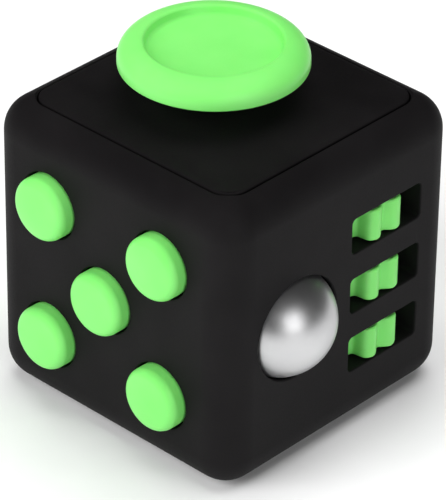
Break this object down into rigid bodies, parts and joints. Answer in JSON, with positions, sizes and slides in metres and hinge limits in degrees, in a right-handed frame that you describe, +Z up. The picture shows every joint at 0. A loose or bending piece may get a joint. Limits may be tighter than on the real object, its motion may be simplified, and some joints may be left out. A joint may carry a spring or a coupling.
{
  "type": "fidget cube",
  "caption": "Pocket cube with push buttons, roller wheels, a rolling ball, a tilting glide stick, a flip switch, a spin dial and a thumb dish on its faces.",
  "frame": {"origin": "centre of the flat bottom face of the cube, on the surface it stands on", "axes": "+Z up towards the glide stick, -Y out of the button face, +X out of the face with the wheels and ball"},
  "size_m": [0.0391, 0.037, 0.0392],
  "materials": {
    "casing": "soft-touch charcoal ABS",
    "green": "satin bright green ABS",
    "polished_steel": "polished",
    "screw_steel": "zinc plated",
    "spring_steel": "rolled spring stock",
    "inner_plastic": "moulded dark grey acetal",
    "silicone": "translucent silicone"
  },
  "bodies": {
    "casing": {"body_shell": "casing", "base_cover": "casing", "top_cover": "casing", "glide_housing": "inner_plastic", "click_backplate": "inner_plastic", "roll_axle": "polished_steel", "wheel_frame": "inner_plastic", "wheel_detent_spring": "spring_steel", "ball_housing": "inner_plastic", "ball_dome": "spring_steel", "flip_pin": "polished_steel", "flip_housing": "inner_plastic", "flip_leaf_spring": "spring_steel", "spin_wave_washer": "spring_steel", "click_dome_top_left": "spring_steel", "quiet_pad_top_right": "silicone", "click_dome_middle": "spring_steel", "quiet_pad_bottom_left": "silicone", "click_dome_bottom_right": "spring_steel", "glide_screw_1": "screw_steel", "glide_screw_2": "screw_steel", "glide_screw_3": "screw_steel", "click_screw_1": "screw_steel", "click_screw_2": "screw_steel", "click_screw_3": "screw_steel", "click_screw_4": "screw_steel", "wheel_frame_screw_1": "screw_steel", "wheel_frame_screw_2": "screw_steel", "ball_housing_screw_1": "screw_steel", "ball_housing_screw_2": "screw_steel", "flip_screw_1": "screw_steel", "flip_screw_2": "screw_steel"},
    "glide_gimbal": {"glide_spring": "spring_steel"},
    "glide_stick": {"glide_cap": "green", "glide_stem": "casing"},
    "ball_seat": {"ball_cup": "inner_plastic"},
    "ball": {"roller_ball": "polished_steel"},
    "rocker": {"flip_rocker": "green"},
    "dial": {"spin_dial": "green", "spin_retainer": "inner_plastic", "spin_screw": "screw_steel"},
    "button_top_left": {"click_button_top_left": "green"},
    "button_top_right": {"click_button_top_right": "green"},
    "button_middle": {"click_button_middle": "green"},
    "button_bottom_left": {"click_button_bottom_left": "green"},
    "button_bottom_right": {"click_button_bottom_right": "green"},
    "wheel_top": {"roll_wheel_top": "green"},
    "wheel_middle": {"roll_wheel_middle": "green"},
    "wheel_bottom": {"roll_wheel_bottom": "green"}
  },
  "joints": [
    {"name": "glide_tilt_x", "type": "hinge", "parent": "casing", "child": "glide_gimbal", "pos_m": [-0.00077, -0.00072, 0.0292], "axis": [1, 0, 0], "range_deg": [-12, 12], "stiffness_Nm_per_rad": 0.02, "deforming": ["glide_spring"]},
    {"name": "glide_tilt_y", "type": "hinge", "parent": "glide_gimbal", "child": "glide_stick", "pos_m": [-0.00077, -0.00072, 0.0292], "axis": [0, 1, 0], "range_deg": [-12, 12], "stiffness_Nm_per_rad": 0.02, "deforming": ["glide_spring"]},
    {"name": "press_top_left", "type": "slide", "parent": "casing", "child": "button_top_left", "axis": [0, 1, 0], "range_m": [0, 0.0007], "stiffness_N_per_m": 400, "deforming": ["click_dome_top_left"]},
    {"name": "press_top_right", "type": "slide", "parent": "casing", "child": "button_top_right", "axis": [0, 1, 0], "range_m": [0, 0.0007], "stiffness_N_per_m": 400, "deforming": ["quiet_pad_top_right"]},
    {"name": "press_middle", "type": "slide", "parent": "casing", "child": "button_middle", "axis": [0, 1, 0], "range_m": [0, 0.0007], "stiffness_N_per_m": 400, "deforming": ["click_dome_middle"]},
    {"name": "press_bottom_left", "type": "slide", "parent": "casing", "child": "button_bottom_left", "axis": [0, 1, 0], "range_m": [0, 0.0007], "stiffness_N_per_m": 400, "deforming": ["quiet_pad_bottom_left"]},
    {"name": "press_bottom_right", "type": "slide", "parent": "casing", "child": "button_bottom_right", "axis": [0, 1, 0], "range_m": [0, 0.0007], "stiffness_N_per_m": 400, "deforming": ["click_dome_bottom_right"]},
    {"name": "ball_press", "type": "slide", "parent": "casing", "child": "ball_seat", "axis": [-1, 0, 0], "range_m": [0, 0.0008], "stiffness_N_per_m": 500, "deforming": ["ball_dome"]},
    {"name": "ball_roll", "type": "hinge", "parent": "ball_seat", "child": "ball", "pos_m": [0.014, -0.00665, 0.0162], "axis": [0, 1, 0], "continuous": true},
    {"name": "wheel_turn_top", "type": "hinge", "parent": "casing", "child": "wheel_top", "pos_m": [0.0122, 0.0061, 0.02308], "axis": [0, 0, 1], "continuous": true, "deforming": ["wheel_detent_spring"]},
    {"name": "wheel_turn_middle", "type": "hinge", "parent": "casing", "child": "wheel_middle", "pos_m": [0.0122, 0.0061, 0.01608], "axis": [0, 0, 1], "continuous": true, "deforming": ["wheel_detent_spring"]},
    {"name": "wheel_turn_bottom", "type": "hinge", "parent": "casing", "child": "wheel_bottom", "pos_m": [0.0122, 0.0061, 0.00908], "axis": [0, 0, 1], "continuous": true, "deforming": ["wheel_detent_spring"]},
    {"name": "flip", "type": "hinge", "parent": "casing", "child": "rocker", "pos_m": [0, 0.0125, 0.0165], "axis": [1, 0, 0], "range_deg": [0, 20], "deforming": ["flip_leaf_spring"]},
    {"name": "dial_spin", "type": "hinge", "parent": "casing", "child": "dial", "pos_m": [-0.0165, 0, 0.0165], "axis": [-1, 0, 0], "continuous": true}
  ]
}
